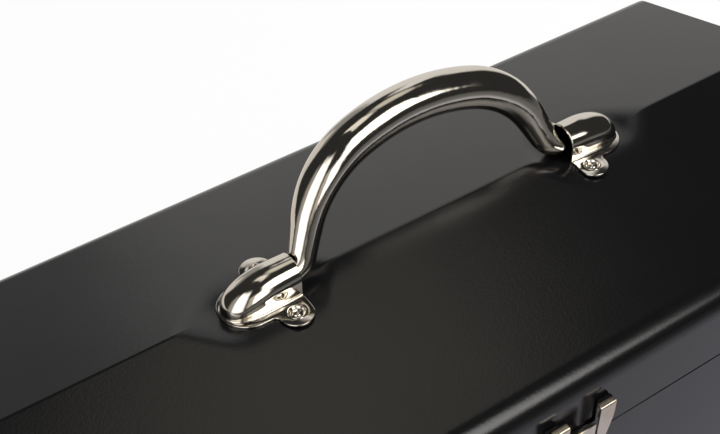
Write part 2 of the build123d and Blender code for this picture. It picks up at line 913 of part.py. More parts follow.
def drive_links():
    outline = bar_outline(crank_pin, lid_pin, link_width)
    holes = [(crank_pin, open_hole), (lid_pin, running_hole)]
    return both_ends([arm_plate(outline, holes, link_at)])


def turned(pivot, outline):
    """Pin turned about X; outline gives (inset from the end panel, radius)."""
    points = [(end_x(inset), radius) for inset, radius in outline]
    closed = [(points[0][0], 0), *points, (points[-1][0], 0)]
    pin = revolve(make_face(Polyline(*closed, close=True)), Axis.X)
    return Pos(0, *pivot) * pin


def end_post(pivot, inset):
    """Shouldered rivet: headed outside the box end, carrying an arm inside."""
    neck = inset - side_clearance
    tail = inset + arm_sheet + side_clearance
    return turned(pivot, [
        (-sheet - outer_head_height, outer_head_radius - outer_head_height),
        (-sheet, outer_head_radius),
        (-sheet, arm_shoulder_radius),
        (neck, arm_shoulder_radius),
        (neck, arm_pin_radius),
        (tail, arm_pin_radius),
        (tail, arm_head_radius),
        (tail + arm_head_height, arm_head_radius),
    ])


def tray_pin(pin, inset):
    """Shouldered rivet, peened in a tray's end and headed beyond its arm."""
    neck = inset + arm_sheet + side_clearance
    tail = inset - side_clearance
    return turned(pin, [
        (tray_end_at + tray_sheet + arm_head_height, arm_shoulder_radius),
        (neck, arm_shoulder_radius),
        (neck, arm_pin_radius),
        (tail, arm_pin_radius),
        (tail, arm_head_radius),
        (tail - arm_head_height, arm_head_radius),
    ])


def crank_rivet():
    """Rivet fixed in the rear arm that the drive link turns on."""
    inner = link_at + arm_sheet + side_clearance
    return turned(crank_pin, [
        (upper_arm_at - arm_head_height, arm_head_radius),
        (upper_arm_at, arm_head_radius),
        (upper_arm_at, arm_pin_radius),
        (inner, arm_pin_radius),
        (inner, arm_head_radius),
        (inner + arm_head_height, arm_head_radius),
    ])


nodes = {
    "lid_wrap": lid_wrap(),
    "lid_end_panels": both_ends([lid_end()]),
    "body_wrap": body_wrap(),
    "body_end_panels": both_ends([body_end()]),
    "body_rim": body_rim(),
    "hinge_body_leaf": hinge_leaf(0, -1),
    "hinge_lid_leaf": hinge_leaf(1, 1),
    "hinge_pin": hinge_pin(),
    "handle": handle(),
    "handle_brackets": both_ends([handle_bracket()]),
    "bracket_rivets": bracket_rivets(),
    "latch_base": latch_base(),
    "latch_lever": latch_lever(),
    "latch_lever_pin": latch_pin(),
    "latch_claw": latch_claw(),
    "latch_claw_pin": latch_claw_pin(),
    "lid_catch": lid_catch(),
    "latch_base_rivets": [front_rivet(x, z) for x, z in base_rivets],
    "lid_catch_rivets": [front_rivet(x, z) for x, z in catch_rivets],
    "upper_tray": tray_shell(upper_tray_z, (upper_front_pin, upper_rear_pin)),
    "upper_tray_dividers": tray_dividers(upper_tray_z, upper_divider_shares),
    "lower_tray": tray_shell(lower_tray_z, (lower_front_pin, lower_rear_pin)),
    "lower_tray_dividers": tray_dividers(lower_tray_z, lower_divider_shares),
    "upper_front_arms": front_arms(upper_front_base, upper_front_pin, upper_arm_at),
    "upper_rear_arms": upper_rear_arms(),
    "lower_front_arms": front_arms(lower_front_base, lower_front_pin, lower_arm_at),
    "lower_rear_arms": lower_rear_arms(),
    "drive_links": drive_links(),
    "upper_arm_posts": both_ends(
        [end_post(upper_front_base, upper_arm_at), end_post(upper_rear_base, upper_arm_at)]
    ),
    "lower_arm_posts": both_ends(
        [end_post(lower_front_base, lower_arm_at), end_post(lower_rear_base, lower_arm_at)]
    ),
    "lid_link_posts": both_ends([end_post(lid_pin, link_at)]),
    "crank_rivets": both_ends([crank_rivet()]),
    "upper_tray_pins": both_ends(
        [tray_pin(upper_front_pin, upper_arm_at), tray_pin(upper_rear_pin, upper_arm_at)]
    ),
    "lower_tray_pins": both_ends(
        [tray_pin(lower_front_pin, lower_arm_at), tray_pin(lower_rear_pin, lower_arm_at)]
    ),
}

os.makedirs("parts", exist_ok=True)
for name, shape in nodes.items():
    solids = shape if isinstance(shape, list) else [shape]
    pieces = [solid for piece in solids for solid in piece.solids()]
    export_step(Compound(children=pieces) if len(pieces) > 1 else pieces[0], f"parts/{name}.step")
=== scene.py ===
import bpy
import bmesh
import json
from math import atan2, cos, degrees, pi, radians, sin, sqrt, tan
from mathutils import Matrix, Vector


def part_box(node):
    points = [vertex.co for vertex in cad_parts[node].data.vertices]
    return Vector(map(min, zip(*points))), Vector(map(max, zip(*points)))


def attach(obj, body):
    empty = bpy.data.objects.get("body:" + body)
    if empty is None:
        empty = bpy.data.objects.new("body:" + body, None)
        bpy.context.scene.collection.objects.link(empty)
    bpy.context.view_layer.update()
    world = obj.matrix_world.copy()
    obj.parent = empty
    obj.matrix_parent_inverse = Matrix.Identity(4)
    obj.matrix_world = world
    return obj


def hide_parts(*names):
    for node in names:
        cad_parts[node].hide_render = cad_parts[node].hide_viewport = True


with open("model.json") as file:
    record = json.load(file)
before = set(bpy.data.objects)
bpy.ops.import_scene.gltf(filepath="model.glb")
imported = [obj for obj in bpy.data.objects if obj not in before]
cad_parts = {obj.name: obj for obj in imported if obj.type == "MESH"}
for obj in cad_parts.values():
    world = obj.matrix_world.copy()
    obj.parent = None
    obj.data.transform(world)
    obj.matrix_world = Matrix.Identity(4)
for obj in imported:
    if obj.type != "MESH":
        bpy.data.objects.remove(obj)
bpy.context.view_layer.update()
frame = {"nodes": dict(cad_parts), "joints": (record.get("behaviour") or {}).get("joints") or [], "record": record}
scene = bpy.context.scene
print("frame loaded:", len(frame["nodes"]), "nodes")

lidLow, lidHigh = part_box("lid_wrap")
bodyLow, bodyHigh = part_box("body_wrap")


# camera, standing off to the left of the front and looking down on the ridge

shot = {
    "azimuth": -35.017,
    "elevation": 41.368,
    "roll": -0.53,
    "lens": 66.13,
    "standOff": (-0.3174, -0.3899, 0.4378),
}


def makeCamera():
    turn, lift, tilt = (radians(shot[key]) for key in ("azimuth", "elevation", "roll"))
    back = Vector((sin(turn) * cos(lift), -cos(turn) * cos(lift), sin(lift)))
    level = (-back).cross(Vector((0, 0, 1))).normalized()
    upright = level.cross(-back)
    right = cos(tilt) * level + sin(tilt) * upright
    up = -sin(tilt) * level + cos(tilt) * upright
    camera = bpy.data.objects.new("camera", bpy.data.cameras.new("camera"))
    scene.collection.objects.link(camera)
    camera.data.lens = shot["lens"]
    camera.data.clip_start = 0.01
    place = Matrix((right, up, back)).transposed().to_4x4()
    place.translation = Vector((0, 0, lidHigh.z)) + Vector(shot["standOff"])
    camera.matrix_world = place
    scene.camera = camera


makeCamera()
print("camera placed")


# shader helpers

def fillSockets(tree, node, sockets):
    for key, value in sockets.items():
        if isinstance(value, bpy.types.NodeSocket):
            tree.links.new(value, node.inputs[key])
        else:
            node.inputs[key].default_value = value


def addNode(tree, kind, sockets=None, **settings):
    node = tree.nodes.new(kind)
    for key, value in settings.items():
        setattr(node, key, value)
    fillSockets(tree, node, sockets or {})
    return node


def newGroup(name, inputs, outputs):
    group = bpy.data.node_groups.new(name, "ShaderNodeTree")
    for label, kind, value in inputs:
        socket = group.interface.new_socket(label, in_out="INPUT", socket_type=kind)
        if value is not None:
            socket.default_value = value
    for label, kind in outputs:
        group.interface.new_socket(label, in_out="OUTPUT", socket_type=kind)
    return group, group.nodes.new("NodeGroupInput").outputs, group.nodes.new("NodeGroupOutput")


def useGroup(tree, group, sockets):
    node = tree.nodes.new("ShaderNodeGroup")
    node.node_tree = group
    fillSockets(tree, node, sockets)
    return node.outputs


def buildPeel():
    # sprayed skin: fine peel over long shallow waves, and a slow drift in gloss
    group, given, out = newGroup(
        "sprayPeel",
        [("Vector", "NodeSocketVector", None), ("Grain", "NodeSocketFloat", 700.0),
         ("Wave", "NodeSocketFloat", 18.0), ("Wave Height", "NodeSocketFloat", 0.5)],
        [("Height", "NodeSocketFloat"), ("Drift", "NodeSocketFloat"), ("Dust", "NodeSocketFloat")],
    )
    peel = addNode(group, "ShaderNodeTexNoise", {"Vector": given["Vector"], "Scale": given["Grain"],
                                                 "Detail": 3.0, "Roughness": 0.55})
    wave = addNode(group, "ShaderNodeTexNoise", {"Vector": given["Vector"], "Scale": given["Wave"],
                                                 "Detail": 1.0})
    waved = addNode(group, "ShaderNodeMath", {0: wave.outputs["Fac"], 1: given["Wave Height"]},
                    operation="MULTIPLY")
    height = addNode(group, "ShaderNodeMath", {0: peel.outputs["Fac"], 1: waved.outputs[0]},
                     operation="ADD")
    drift = addNode(group, "ShaderNodeTexNoise", {"Vector": given["Vector"], "Scale": 9.0,
                                                  "Detail": 4.0, "Roughness": 0.6})
    speck = addNode(group, "ShaderNodeTexNoise", {"Vector": given["Vector"], "Scale": 1500.0,
                                                  "Detail": 2.0})
    dust = addNode(group, "ShaderNodeMapRange", {"Value": speck.outputs["Fac"], "From Min": 0.66,
                                                 "From Max": 0.78})
    group.links.new(height.outputs[0], out.inputs["Height"])
    group.links.new(drift.outputs["Fac"], out.inputs["Drift"])
    group.links.new(dust.outputs[0], out.inputs["Dust"])
    return group


rubDepth = 0.06  # height of the rubbing marks against the ripples


def buildPlating():
    # plated sheet: press ripples, faint rubbing marks and smudges
    group, given, out = newGroup(
        "platingMarks",
        [("Vector", "NodeSocketVector", None), ("Ripple", "NodeSocketFloat", 90.0),
         ("Rub", "NodeSocketFloat", 1.0)],
        [("Height", "NodeSocketFloat"), ("Smudge", "NodeSocketFloat"), ("Tarnish", "NodeSocketFloat")],
    )
    ripple = addNode(group, "ShaderNodeTexNoise", {"Vector": given["Vector"], "Scale": given["Ripple"],
                                                   "Detail": 2.0, "Roughness": 0.45})
    stretched = addNode(group, "ShaderNodeMapping", {"Vector": given["Vector"],
                                                     "Scale": (160.0, 1500.0, 900.0)})
    marks = addNode(group, "ShaderNodeTexNoise", {"Vector": stretched.outputs[0], "Scale": 1.0,
                                                  "Detail": 3.0, "Roughness": 0.7})
    rubbed = addNode(group, "ShaderNodeMath", {0: marks.outputs["Fac"], 1: given["Rub"]},
                     operation="MULTIPLY")
    faint = addNode(group, "ShaderNodeMath", {0: rubbed.outputs[0], 1: rubDepth}, operation="MULTIPLY")
    height = addNode(group, "ShaderNodeMath", {0: ripple.outputs["Fac"], 1: faint.outputs[0]},
                     operation="ADD")
    smear = addNode(group, "ShaderNodeTexNoise", {"Vector": given["Vector"], "Scale": 70.0,
                                                  "Detail": 5.0, "Roughness": 0.65})
    smudge = addNode(group, "ShaderNodeMapRange", {"Value": smear.outputs["Fac"], "From Min": 0.42,
                                                   "From Max": 0.72})
    age = addNode(group, "ShaderNodeTexNoise", {"Vector": given["Vector"], "Scale": 35.0,
                                                "Detail": 6.0, "Roughness": 0.6})
    tarnish = addNode(group, "ShaderNodeMapRange", {"Value": age.outputs["Fac"], "From Min": 0.45,
                                                    "From Max": 0.75})
    group.links.new(height.outputs[0], out.inputs["Height"])
    group.links.new(smudge.outputs[0], out.inputs["Smudge"])
    group.links.new(tarnish.outputs[0], out.inputs["Tarnish"])
    return group


peelGroup = buildPeel()
platingGroup = buildPlating()


def newMaterial(name):
    material = bpy.data.materials.new(name)
    material.use_nodes = True
    tree = material.node_tree
    tree.nodes.clear()
    shader = addNode(tree, "ShaderNodeBsdfPrincipled")
    addNode(tree, "ShaderNodeOutputMaterial", {"Surface": shader.outputs[0]})
    coords = addNode(tree, "ShaderNodeTexCoord").outputs["Object"]
    return material, tree, shader, coords


def blendColor(tree, mask, first, second):
    mix = addNode(tree, "ShaderNodeMix", data_type="RGBA")
    tree.links.new(mask, mix.inputs["Factor"])
    mix.inputs["A"].default_value = (*first, 1)
    mix.inputs["B"].default_value = (*second, 1)
    return mix.outputs["Result"]


def spread(tree, mask, low, high):
    return addNode(tree, "ShaderNodeMapRange", {"Value": mask, "To Min": low, "To Max": high}).outputs[0]


dustTone = (0.2, 0.2, 0.2)


def sprayedPaint(name, look):
    material, tree, shader, coords = newMaterial(name)
    skin = useGroup(tree, peelGroup, {"Vector": coords, "Grain": look["grain"], "Wave": look["wave"],
                                      "Wave Height": look["waveHeight"]})
    tone = blendColor(tree, skin["Drift"], look["deep"], look["worn"])
    dusted = addNode(tree, "ShaderNodeMix", data_type="RGBA")
    dusty = addNode(tree, "ShaderNodeMath", {0: skin["Dust"], 1: look["dust"]}, operation="MULTIPLY")
    tree.links.new(dusty.outputs[0], dusted.inputs["Factor"])
    tree.links.new(tone, dusted.inputs["A"])
    dusted.inputs["B"].default_value = (*dustTone, 1)
    tree.links.new(dusted.outputs["Result"], shader.inputs["Base Color"])
    tree.links.new(spread(tree, skin["Drift"], *look["roughness"]), shader.inputs["Roughness"])
    bump = addNode(tree, "ShaderNodeBump", {"Height": skin["Height"], "Strength": look["bump"],
                                            "Distance": look["bumpDepth"]})
    tree.links.new(bump.outputs[0], shader.inputs["Normal"])
    return material


def platedMetal(name, look):
    material, tree, shader, coords = newMaterial(name)
    marks = useGroup(tree, platingGroup, {"Vector": coords, "Ripple": look["ripple"],
                                          "Rub": look["rub"]})
    tree.links.new(blendColor(tree, marks["Tarnish"], look["bright"], look["aged"]),
                   shader.inputs["Base Color"])
    shader.inputs["Metallic"].default_value = 1.0
    tree.links.new(spread(tree, marks["Smudge"], *look["roughness"]), shader.inputs["Roughness"])
    bump = addNode(tree, "ShaderNodeBump", {"Height": marks["Height"], "Strength": look["bump"],
                                            "Distance": look["bumpDepth"]})
    tree.links.new(bump.outputs[0], shader.inputs["Normal"])
    return material


blackPaint = sprayedPaint("blackPaint", {
    "deep": (0.0032, 0.0032, 0.0036), "worn": (0.0046, 0.0045, 0.0050), "dust": 0.04,
    "roughness": (0.15, 0.21), "grain": 750.0, "wave": 16.0, "waveHeight": 6.0,
    "bump": 0.22, "bumpDepth": 0.0002,
})
trayPaint = sprayedPaint("trayPaint", {
    "deep": (0.26, 0.27, 0.28), "worn": (0.31, 0.32, 0.33), "dust": 0.2,
    "roughness": (0.38, 0.5), "grain": 420.0, "wave": 25.0, "waveHeight": 2.0,
    "bump": 0.35, "bumpDepth": 0.0003,
})
nickelPlate = platedMetal("nickelPlate", {
    "bright": (0.70, 0.655, 0.59), "aged": (0.64, 0.58, 0.49), "roughness": (0.06, 0.14),
    "ripple": 95.0, "rub": 1.0, "bump": 0.25, "bumpDepth": 0.0006,
})
agedNickel = platedMetal("agedNickel", {
    "bright": (0.72, 0.64, 0.56), "aged": (0.58, 0.48, 0.35), "roughness": (0.14, 0.27),
    "ripple": 140.0, "rub": 2.0, "bump": 0.2, "bumpDepth": 0.0004,
})
zincPlate = platedMetal("zincPlate", {
    "bright": (0.62, 0.64, 0.66), "aged": (0.5, 0.5, 0.49), "roughness": (0.28, 0.45),
    "ripple": 220.0, "rub": 4.0, "bump": 0.25, "bumpDepth": 0.0003,
})
print("materials mixed")


# mesh helpers

near = 1e-6  # two points closer than this are one


def addPiece(name, bm, material, body, replaced=(), crease=35.0):
    bmesh.ops.remove_doubles(bm, verts=bm.verts, dist=near)
    bmesh.ops.recalc_face_normals(bm, faces=bm.faces)
    for face in bm.faces:
        face.smooth = True
    for edge in bm.edges:
        edge.smooth = edge.calc_face_angle(pi) < radians(crease)
    mesh = bpy.data.meshes.new(name)
    bm.to_mesh(mesh)
    bm.free()
    mesh.materials.append(material)
    piece = bpy.data.objects.new(name, mesh)
    scene.collection.objects.link(piece)
    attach(piece, body)
    if replaced:
        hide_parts(*replaced)
    return piece


def roundEdges(piece, width, segments=2, angle=40.0):
    bevel = piece.modifiers.new("roundEdges", "BEVEL")
    bevel.width = width
    bevel.segments = segments
    bevel.limit_method = "ANGLE"
    bevel.angle_limit = radians(angle)


def thicken(piece, thickness, offset=-1.0):
    wall = piece.modifiers.new("thicken", "SOLIDIFY")
    wall.thickness = thickness
    wall.offset = offset
    wall.use_even_offset = True


def edgesOn(bm, test):
    return [edge for edge in bm.edges if all(test(vert.co) for vert in edge.verts)]


def pullOut(bm, edges):
    # pulls new faces out of a chain of edges: the fresh corners and the chain that they form
    pulled = bmesh.ops.extrude_edge_only(bm, edges=edges)["geom"]
    fresh = [item for item in pulled if isinstance(item, bmesh.types.BMVert)]
    front = [item for item in pulled if isinstance(item, bmesh.types.BMEdge)
             and all(vert in fresh for vert in item.verts)]
    return fresh, front


def foldedSheet(points, bends, halfLength):
    # outline given as (y, z), pulled along x, its bends rounded one by one
    bm = bmesh.new()
    chain = [bm.verts.new((-halfLength, y, z)) for y, z in points]
    edges = [bm.edges.new(pair) for pair in zip(chain, chain[1:])]
    moved = pullOut(bm, edges)[0]
    bmesh.ops.translate(bm, verts=moved, vec=(2 * halfLength, 0, 0))
    for index, radius, segments in bends:
        here = Vector(points[index])
        before = (here - Vector(points[index - 1])).normalized()
        after = (Vector(points[index + 1]) - here).normalized()
        turn = before.angle(after)
        along = edgesOn(bm, lambda spot: (Vector(spot.yz) - here).length < near)
        bmesh.ops.bevel(bm, geom=along, offset=radius * tan(turn / 2), offset_type="OFFSET",
                        segments=segments, profile=0.5, affect="EDGES", clamp_overlap=False,
                        material=-1)
    return bm


def cutAcross(bm, axis, places, keep=None):
    normal = Vector((axis == "x", axis == "y", axis == "z"))
    for place in places:
        geom = [item for item in [*bm.verts, *bm.edges, *bm.faces] if keep is None or keep(item)]
        bmesh.ops.bisect_plane(bm, geom=geom, dist=near / 10, plane_co=normal * place,
                               plane_no=normal)


def steps(low, high, pitch):
    count = max(1, round((high - low) / pitch))
    return [low + (high - low) * index / count for index in range(count + 1)]


# lid and body skins

lidSkin = {
    "pitch": 12.6, "sheet": 0.0012, "edgeRounding": 0.0003, "seamGap": 0.0007, "holdLoop": 0.001,
    "eaveRadius": 0.0155, "eaveSteps": 16, "ridgeRadius": 0.004, "ridgeSteps": 6,
    "padInner": 0.065, "padOuter": 0.1425, "innerRamp": 0.013, "outerRamp": 0.0185,
    "padDrop": 0.004, "padReach": 0.0285, "padMargin": 0.0105, "padPitch": 0.0015,
    "creaseSoftness": 0.002, "rampSoftness": 0.0015,
}


def softer(first, second, softness):
    # the lower of two heights, eased where they come close
    overlap = max(0.0, 1 - abs(first - second) / softness)
    return min(first, second) - overlap ** 2 * softness / 4


def padHeight(x):
    side = abs(x)
    floor = apexZ - lidSkin["padDrop"]
    inner = (lidSkin["padInner"] + lidSkin["innerRamp"] - side) / lidSkin["innerRamp"]
    outer = (side - lidSkin["padOuter"] + lidSkin["outerRamp"]) / lidSkin["outerRamp"]
    rise = max(inner, outer) * lidSkin["padDrop"]
    return -softer(-floor, -floor - rise, lidSkin["rampSoftness"])


def buildLidSkin():
    half = lidHigh.y
    eaveZ = apexZ - half * tan(radians(lidSkin["pitch"]))
    foot = lidLow.z + lidSkin["seamGap"]
    points = [(-half, foot), (-half, eaveZ), (0, apexZ), (half, eaveZ), (half, foot)]
    eave = (lidSkin["eaveRadius"], lidSkin["eaveSteps"])
    bends = [(1, *eave), (3, *eave), (2, lidSkin["ridgeRadius"], lidSkin["ridgeSteps"])]
    bm = foldedSheet(points, bends, lidHigh.x)
    tilt = radians(lidSkin["pitch"])
    bend = lidSkin["eaveRadius"] * tan((pi / 2 - tilt) / 2)
    slopeEnd = half - bend * cos(tilt) - lidSkin["holdLoop"]
    ridgeEnd = lidSkin["ridgeRadius"] * sin(tilt) + lidSkin["holdLoop"]
    cutAcross(bm, "y", [-slopeEnd, -ridgeEnd, ridgeEnd, slopeEnd])
    cutAcross(bm, "z", [eaveZ - bend - lidSkin["holdLoop"]])
    reach, pitch = lidSkin["padReach"], lidSkin["padPitch"]
    first = lidSkin["padInner"] - lidSkin["padMargin"]
    last = lidSkin["padOuter"] + lidSkin["padMargin"]
    cutAcross(bm, "x", steps(first, last, pitch) + steps(-last, -first, pitch))
    cutAcross(bm, "y", [-reach, reach])

    def nearRidge(item):
        spots = [item] if isinstance(item, bmesh.types.BMVert) else item.verts
        return all(abs(spot.co.y) <= reach + 10 * near for spot in spots)

    cutAcross(bm, "y", steps(-reach, reach, pitch), nearRidge)
    for vert in bm.verts:
        if first < abs(vert.co.x) < last and abs(vert.co.y) < reach:
            vert.co.z = softer(vert.co.z, padHeight(vert.co.x), lidSkin["creaseSoftness"])
    skin = addPiece("lid_skin", bm, blackPaint, "lid", ["lid_wrap"], crease=60.0)
    thicken(skin, lidSkin["sheet"])
    roundEdges(skin, lidSkin["edgeRounding"], angle=60.0)


bodySkin = {
    "floorRadius": 0.008, "floorSteps": 10, "sheet": 0.0012, "edgeRounding": 0.0003, "holdLoop": 0.001,
}


def buildBodySkin():
    half = bodyHigh.y
    points = [(-half, bodyHigh.z), (-half, bodyLow.z), (half, bodyLow.z), (half, bodyHigh.z)]
    bends = [(index, bodySkin["floorRadius"], bodySkin["floorSteps"]) for index in (1, 2)]
    bm = foldedSheet(points, bends, bodyHigh.x)
    edge = bodySkin["floorRadius"] + bodySkin["holdLoop"]
    cutAcross(bm, "y", [edge - half, half - edge])
    cutAcross(bm, "z", [bodyLow.z + edge])
    skin = addPiece("body_skin", bm, blackPaint, "box", ["body_wrap"], crease=60.0)
    thicken(skin, bodySkin["sheet"])
    roundEdges(skin, bodySkin["edgeRounding"], angle=60.0)


ridgeShave = lidSkin["ridgeRadius"] * (1 / cos(radians(lidSkin["pitch"])) - 1)
apexZ = lidHigh.z + ridgeShave
buildLidSkin()
buildBodySkin()
print("lid and body skins folded")


# pressed handle brackets

bracket = {
    "mouths": {1: 0.0858, -1: 0.0842}, "nose": 0.124, "sheet": 0.0012, "halfWidth": 0.0096,
    "noseHalf": 0.0113, "height": 0.0174, "margin": 0.0012, "crown": 0.095, "bluntness": 4.5,
    "straightShare": 0.3,
    "rings": 44, "around": 40, "foot": 0.0009, "footSteps": 4,
    "halfStrip": 0.0148, "neckRadius": 0.003, "earX": 0.093, "earY": 0.0176, "earRadius": 0.0088,
    "mouthCorner": 0.0135, "holeRadius": 0.0042, "edgeRounding": 0.00035,
}


# carrying handle

grip = {
    "lean": 20.0, "height": 0.05699, "crownRadius": 0.116, "crownTurn": 18.0, "cornerRadius": 0.056,
    "legSlope": 65.7, "heels": {1: 0.016, -1: 0.011}, "tipEnd": 0.101, "tipLift": 0.0012,
    "across": 0.0212, "acrossTip": 0.0121, "acrossTaper": 0.45,
    "deep": 0.022, "deepTip": 0.0146, "deepTaper": 0.3,
    "deepInside": 0.013, "slimLead": 0.0075, "slimRun": 0.006,
    "rings": 64, "around": 40,
}


def jointPlace(name):
    return Vector(next(joint["pos_m"] for joint in frame["joints"] if joint["name"] == name))


def gripSpans():
    # how far the crown turns, how steep the legs are, and how long the crown and the corner run
    crownTurn, slope = radians(grip["crownTurn"]), radians(grip["legSlope"])
    crownLength = grip["crownRadius"] * crownTurn
    cornerLength = grip["cornerRadius"] * (slope - crownTurn)
    return crownTurn, slope, crownLength, cornerLength


def gripLine(travel, heel):
    # place (x, height) and fall angle at a distance from the top of the arch
    crownTurn, slope, crownLength, cornerLength = gripSpans()
    if travel <= crownLength:
        turn = travel / grip["crownRadius"]
        return grip["crownRadius"] * sin(turn), crownHeight(turn), turn
    crownX, crownZ = grip["crownRadius"] * sin(crownTurn), crownHeight(crownTurn)
    turn = min(slope, crownTurn + (travel - crownLength) / grip["cornerRadius"])
    x = crownX + grip["cornerRadius"] * (sin(turn) - sin(crownTurn))
    z = crownZ - grip["cornerRadius"] * (cos(crownTurn) - cos(turn))
    if travel <= crownLength + cornerLength:
        return x, z, turn
    kneeZ = heel * (1 - cos(slope))
    legLength = (z - kneeZ) / sin(slope)
    run = travel - crownLength - cornerLength
    if run <= legLength:
        return x + run * cos(slope), z - run * sin(slope), slope
    x, z = x + legLength * cos(slope), kneeZ
    turn = max(0.0, slope - (run - legLength) / heel)
    return (x + heel * (sin(slope) - sin(turn)),
            z - heel * (cos(turn) - cos(slope)), turn)


def crownHeight(turn):
    return grip["height"] - grip["crownRadius"] * (1 - cos(turn))


def gripReach(heel):
    crownTurn, slope, crownLength, cornerLength = gripSpans()
    cornerZ = crownHeight(crownTurn) - grip["cornerRadius"] * (cos(crownTurn) - cos(slope))
    legLength = (cornerZ - heel * (1 - cos(slope))) / sin(slope)
    return crownLength + cornerLength + legLength + heel * slope


def eased(share, start):
    # 1 up to the start of the taper, falling gently to 0 at the tip
    travel = max(0.0, min(1.0, (share - start) / (1 - start)))
    return (1 + cos(pi * travel)) / 2


def ringPlace(share):
    # where a section sits: share runs from -1 to 1, and past them at the ends of the straight tips
    side = 1 if share >= 0 else -1
    heel = grip["heels"][side]
    inside = min(abs(share), 1)
    x, z, fall = gripLine(inside * gripReach(heel), heel)
    if abs(share) > 1:
        x = grip["tipEnd"]
    z += grip["tipLift"] * (1 - eased(inside, grip["deepTaper"]))
    full = eased(inside, grip["acrossTaper"])
    across = grip["acrossTip"] + (grip["across"] - grip["acrossTip"]) * full
    full = eased(inside, grip["deepTaper"])
    deep = grip["deepTip"] + (grip["deep"] - grip["deepTip"]) * full
    slimFrom = bracket["mouths"][side] - grip["slimLead"]
    slim = 1 - eased(max(0.0, x - slimFrom) / grip["slimRun"], 0)
    deep -= (deep - grip["deepInside"]) * slim
    way = Vector((cos(fall), 0, -side * sin(fall)))
    rise = Vector((side * sin(fall), 0, cos(fall)))
    turned = Matrix((Vector((0, 1, 0)) * across / 2, rise * deep / 2, way)).transposed().to_4x4()
    turned.translation = Vector((side * x, 0, z))
    return turned


def buildHandle():
    bm = bmesh.new()
    shares = [-2.0, *steps(-1.0, 1.0, 1.0 / grip["rings"]), 2.0]
    ring = bmesh.ops.create_circle(bm, segments=grip["around"], radius=1.0)["verts"]
    edges = list({edge for vert in ring for edge in vert.link_edges})
    last = ringPlace(shares[0])
    bmesh.ops.transform(bm, matrix=last, verts=ring)
    bmesh.ops.contextual_create(bm, geom=edges)
    for share in shares[1:]:
        ring, edges = pullOut(bm, edges)
        place = ringPlace(share)
        bmesh.ops.transform(bm, matrix=place @ last.inverted(), verts=ring)
        last = place
    bmesh.ops.contextual_create(bm, geom=edges)
    pivot = jointPlace("handle_fold")
    lean = Matrix.Translation(pivot) @ Matrix.Rotation(radians(-grip["lean"]), 4, "X")
    bmesh.ops.transform(bm, matrix=lean, verts=bm.verts)
    addPiece("grip_tube", bm, nickelPlate, "handle", ["handle"], crease=50.0)


buildHandle()
print("handle drawn")


# hoods and flanges of the brackets

def hoodPoint(length, across, mouth):
    # length runs from the square mouth to the nose, across from one foot over the top to the other
    straight = bracket["straightShare"]
    share = sin(pi / 2 * max(0.0, length - straight) / (1 - straight))
    nose = bracket["nose"] - bracket["margin"]
    if length < straight:
        x = mouth + (bracket["crown"] - mouth) * length / straight
    else:
        x = bracket["crown"] + share * (nose - bracket["crown"])
    half = bracket["halfWidth"] + (bracket["noseHalf"] - bracket["halfWidth"]) * length
    half *= sqrt(max(0.0, 1 - share ** bracket["bluntness"]))
    height = (bracket["height"] - bracket["foot"]) * sqrt(max(0.0, 1 - share ** 2))
    wall = max(0.0, height - half)
    travel = across * (2 * wall + pi * half)
    if travel < wall:
        y, z = -half, travel
    elif travel > wall + pi * half:
        y, z = half, 2 * wall + pi * half - travel
    else:
        turn = (travel - wall) / half if half else 0.0
        y, z = -half * cos(turn), wall + (height - wall) * sin(turn)
    return Vector((x, y, z + bracket["foot"]))


def hoodFlow(spot):
    # plan direction pointing straight away from the side of the hood
    if spot.x <= bracket["crown"]:
        return Vector((0, 1 if spot.y > 0 else -1, 0))
    length = bracket["nose"] - bracket["margin"] - bracket["crown"]
    share = (spot.x - bracket["crown"]) / length
    slope = bracket["bluntness"] * share ** (bracket["bluntness"] - 1) / length
    return Vector((slope, 2 * spot.y / bracket["halfWidth"] ** 2, 0)).normalized()


def addHood(bm, side, floor):
    # a grid one unit wide, from 0 to 1 both ways, bent into the hood
    half = 0.5
    grid = bmesh.ops.create_grid(bm, x_segments=bracket["rings"], y_segments=bracket["around"],
                                 size=half)["verts"]
    for vert in grid:
        vert.co = hoodPoint(vert.co.x + half, vert.co.y + half, bracket["mouths"][side])
    bmesh.ops.remove_doubles(bm, verts=grid, dist=near)
    hood = [vert for vert in grid if vert.is_valid]
    rim = [edge for edge in {edge for vert in hood for edge in vert.link_edges}
           if edge.is_boundary and all(vert.co.z < bracket["foot"] + near for vert in edge.verts)]
    flow = {vert: hoodFlow(vert.co) for edge in rim for vert in edge.verts}
    base = {vert: vert.co.copy() for vert in flow}
    for step in range(1, bracket["footSteps"] + 1):
        turn = pi / 2 * step / bracket["footSteps"]
        fresh, rim = pullOut(bm, rim)
        nearest = {vert: min(base, key=lambda old: (old.co - vert.co).length_squared)
                   for vert in fresh}
        base = {vert: base[old] for vert, old in nearest.items()}
        flow = {vert: flow[old] for vert, old in nearest.items()}
        for vert in fresh:
            vert.co = base[vert] + flow[vert] * bracket["foot"] * (1 - cos(turn))
            vert.co.z = bracket["foot"] * (1 - sin(turn))
        hood += fresh
    for vert in hood:
        vert.co = Vector((side * vert.co.x, vert.co.y, vert.co.z + floor))


def arcKnots(centre, radius, start, end, count):
    # bezier knots round an arc, each with its two handles
    pitch = (end - start) / count
    reach = 4 / 3 * tan(radians(pitch) / 4) * radius
    knots = []
    for index in range(count + 1):
        turn = radians(start + pitch * index)
        out = Vector((cos(turn), sin(turn), 0))
        way = Vector((-sin(turn), cos(turn), 0))
        spot = Vector((*centre, 0)) + out * radius
        knots.append((spot - way * reach, spot, spot + way * reach))
    return knots


